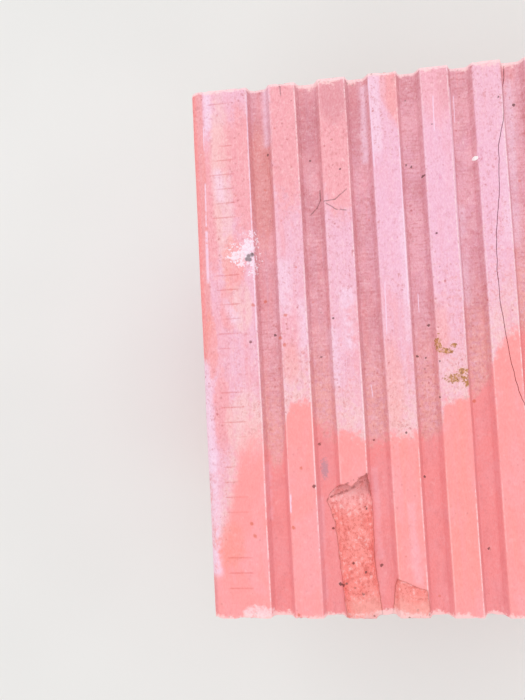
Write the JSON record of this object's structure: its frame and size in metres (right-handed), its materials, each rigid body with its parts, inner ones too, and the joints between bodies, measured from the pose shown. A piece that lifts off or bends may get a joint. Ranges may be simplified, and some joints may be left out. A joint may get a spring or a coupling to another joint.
{
  "type": "clay hollow block",
  "caption": "Fired clay hollow block with fluted plaster faces, tongue and groove heads, staggered cells through its height and grip holes.",
  "frame": {"origin": "middle of the underside of the block's box, tongues included; the block lies on one fluted face", "axes": "+X along the block's length in the wall, from the grooved head to the tongued head; +Y along its laid height, the way the cells run; +Z through its thickness, up"},
  "size_m": [0.384, 0.238, 0.25],
  "materials": {
    "fired_clay": "dry, matt fired clay with a pale bloom, damp and dirty in patches"
  },
  "bodies": {
    "root": {"clay_block": "fired_clay"}
  },
  "joints": []
}
